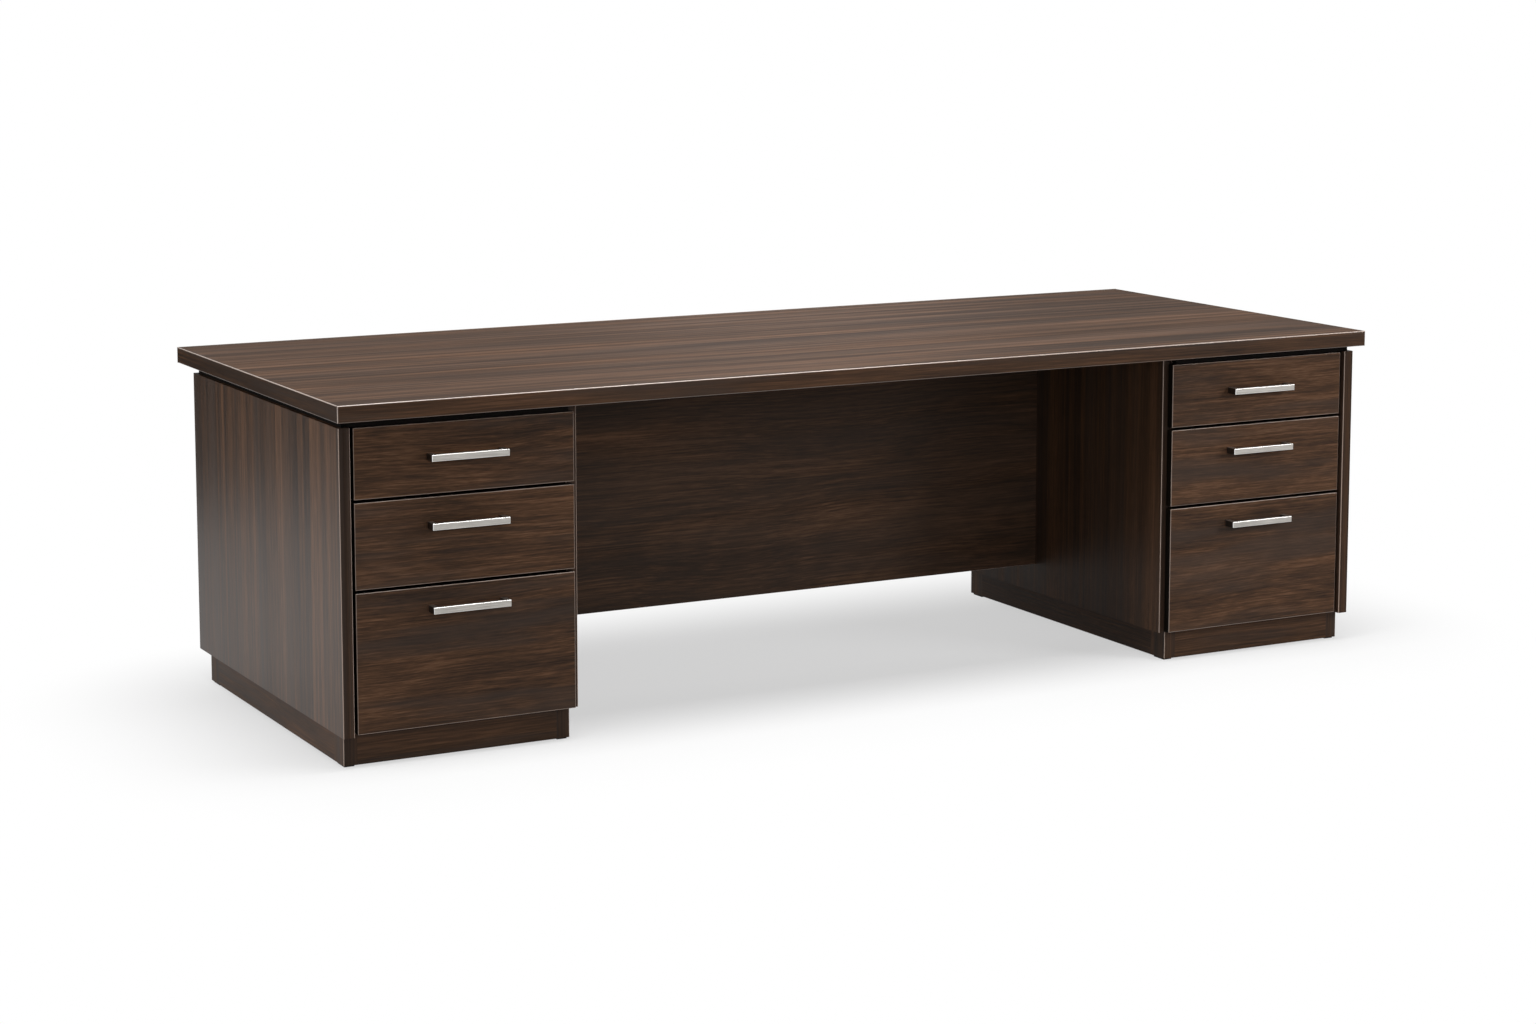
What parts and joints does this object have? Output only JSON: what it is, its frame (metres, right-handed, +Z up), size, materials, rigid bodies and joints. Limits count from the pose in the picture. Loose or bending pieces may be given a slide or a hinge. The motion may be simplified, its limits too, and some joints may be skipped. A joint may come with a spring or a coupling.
{
  "type": "office desk",
  "caption": "Double-pedestal executive office desk in dark walnut laminate, with a modesty panel, box drawers and file drawers on telescopic runners, and square bar pulls.",
  "frame": {"origin": "on the floor under the middle of the desktop", "axes": "+X along the desk to the right of a person who faces the drawers, -Y towards the user and the drawer fronts, +Z up"},
  "size_m": [2.6, 1.05, 0.76],
  "materials": {
    "walnut_laminate": "semi-gloss dark walnut laminate",
    "dark_board": "matt black-brown board",
    "drawer_melamine": "matt grey-brown melamine",
    "brushed_nickel": "brushed satin nickel",
    "zinc_steel": "bright zinc plate",
    "glide_plastic": "matt black"
  },
  "bodies": {
    "desk_frame": {"desktop": "walnut_laminate", "desktop_edge_bands": "walnut_laminate", "modesty_panel": "walnut_laminate", "plinth_posts": "walnut_laminate", "glides": "glide_plastic", "left_outer_panel": "walnut_laminate", "left_inner_panel": "walnut_laminate", "left_back_panel": "walnut_laminate", "left_bottom_panel": "walnut_laminate", "left_top_board": "dark_board", "left_plinth_front_rear": "walnut_laminate", "left_plinth_sides": "walnut_laminate", "left_slide_rails": "zinc_steel", "right_outer_panel": "walnut_laminate", "right_inner_panel": "walnut_laminate", "right_back_panel": "walnut_laminate", "right_bottom_panel": "walnut_laminate", "right_top_board": "dark_board", "right_plinth_front_rear": "walnut_laminate", "right_plinth_sides": "walnut_laminate", "right_slide_rails": "zinc_steel"},
    "left_upper_drawer": {"left_upper_drawer_front": "walnut_laminate", "left_upper_drawer_box": "drawer_melamine", "left_upper_drawer_pull": "brushed_nickel", "left_upper_drawer_pull_screws": "zinc_steel", "left_upper_drawer_slide_inner": "zinc_steel"},
    "left_upper_drawer_runner": {"left_upper_drawer_slide_middle": "zinc_steel"},
    "left_middle_drawer": {"left_middle_drawer_front": "walnut_laminate", "left_middle_drawer_box": "drawer_melamine", "left_middle_drawer_pull": "brushed_nickel", "left_middle_drawer_pull_screws": "zinc_steel", "left_middle_drawer_slide_inner": "zinc_steel"},
    "left_middle_drawer_runner": {"left_middle_drawer_slide_middle": "zinc_steel"},
    "left_lower_drawer": {"left_lower_drawer_front": "walnut_laminate", "left_lower_drawer_box": "drawer_melamine", "left_lower_drawer_pull": "brushed_nickel", "left_lower_drawer_pull_screws": "zinc_steel", "left_lower_drawer_slide_inner": "zinc_steel"},
    "left_lower_drawer_runner": {"left_lower_drawer_slide_middle": "zinc_steel"},
    "right_upper_drawer": {"right_upper_drawer_front": "walnut_laminate", "right_upper_drawer_box": "drawer_melamine", "right_upper_drawer_pull": "brushed_nickel", "right_upper_drawer_pull_screws": "zinc_steel", "right_upper_drawer_slide_inner": "zinc_steel"},
    "right_upper_drawer_runner": {"right_upper_drawer_slide_middle": "zinc_steel"},
    "right_middle_drawer": {"right_middle_drawer_front": "walnut_laminate", "right_middle_drawer_box": "drawer_melamine", "right_middle_drawer_pull": "brushed_nickel", "right_middle_drawer_pull_screws": "zinc_steel", "right_middle_drawer_slide_inner": "zinc_steel"},
    "right_middle_drawer_runner": {"right_middle_drawer_slide_middle": "zinc_steel"},
    "right_lower_drawer": {"right_lower_drawer_front": "walnut_laminate", "right_lower_drawer_box": "drawer_melamine", "right_lower_drawer_pull": "brushed_nickel", "right_lower_drawer_pull_screws": "zinc_steel", "right_lower_drawer_slide_inner": "zinc_steel"},
    "right_lower_drawer_runner": {"right_lower_drawer_slide_middle": "zinc_steel"}
  },
  "joints": [
    {"name": "left_upper_drawer_travel", "type": "slide", "parent": "desk_frame", "child": "left_upper_drawer", "axis": [0, -1, 0], "range_m": [0, 0.5]},
    {"name": "left_upper_drawer_runner_travel", "type": "slide", "parent": "desk_frame", "child": "left_upper_drawer_runner", "axis": [0, -1, 0], "range_m": [0, 0.25]},
    {"name": "left_middle_drawer_travel", "type": "slide", "parent": "desk_frame", "child": "left_middle_drawer", "axis": [0, -1, 0], "range_m": [0, 0.5]},
    {"name": "left_middle_drawer_runner_travel", "type": "slide", "parent": "desk_frame", "child": "left_middle_drawer_runner", "axis": [0, -1, 0], "range_m": [0, 0.25]},
    {"name": "left_lower_drawer_travel", "type": "slide", "parent": "desk_frame", "child": "left_lower_drawer", "axis": [0, -1, 0], "range_m": [0, 0.5]},
    {"name": "left_lower_drawer_runner_travel", "type": "slide", "parent": "desk_frame", "child": "left_lower_drawer_runner", "axis": [0, -1, 0], "range_m": [0, 0.25]},
    {"name": "right_upper_drawer_travel", "type": "slide", "parent": "desk_frame", "child": "right_upper_drawer", "axis": [0, -1, 0], "range_m": [0, 0.5]},
    {"name": "right_upper_drawer_runner_travel", "type": "slide", "parent": "desk_frame", "child": "right_upper_drawer_runner", "axis": [0, -1, 0], "range_m": [0, 0.25]},
    {"name": "right_middle_drawer_travel", "type": "slide", "parent": "desk_frame", "child": "right_middle_drawer", "axis": [0, -1, 0], "range_m": [0, 0.5]},
    {"name": "right_middle_drawer_runner_travel", "type": "slide", "parent": "desk_frame", "child": "right_middle_drawer_runner", "axis": [0, -1, 0], "range_m": [0, 0.25]},
    {"name": "right_lower_drawer_travel", "type": "slide", "parent": "desk_frame", "child": "right_lower_drawer", "axis": [0, -1, 0], "range_m": [0, 0.5]},
    {"name": "right_lower_drawer_runner_travel", "type": "slide", "parent": "desk_frame", "child": "right_lower_drawer_runner", "axis": [0, -1, 0], "range_m": [0, 0.25]}
  ],
  "couplings": [
    {"joint": "left_upper_drawer_runner_travel", "follows": "left_upper_drawer_travel", "ratio": 0.5},
    {"joint": "left_middle_drawer_runner_travel", "follows": "left_middle_drawer_travel", "ratio": 0.5},
    {"joint": "left_lower_drawer_runner_travel", "follows": "left_lower_drawer_travel", "ratio": 0.5},
    {"joint": "right_upper_drawer_runner_travel", "follows": "right_upper_drawer_travel", "ratio": 0.5},
    {"joint": "right_middle_drawer_runner_travel", "follows": "right_middle_drawer_travel", "ratio": 0.5},
    {"joint": "right_lower_drawer_runner_travel", "follows": "right_lower_drawer_travel", "ratio": 0.5}
  ]
}
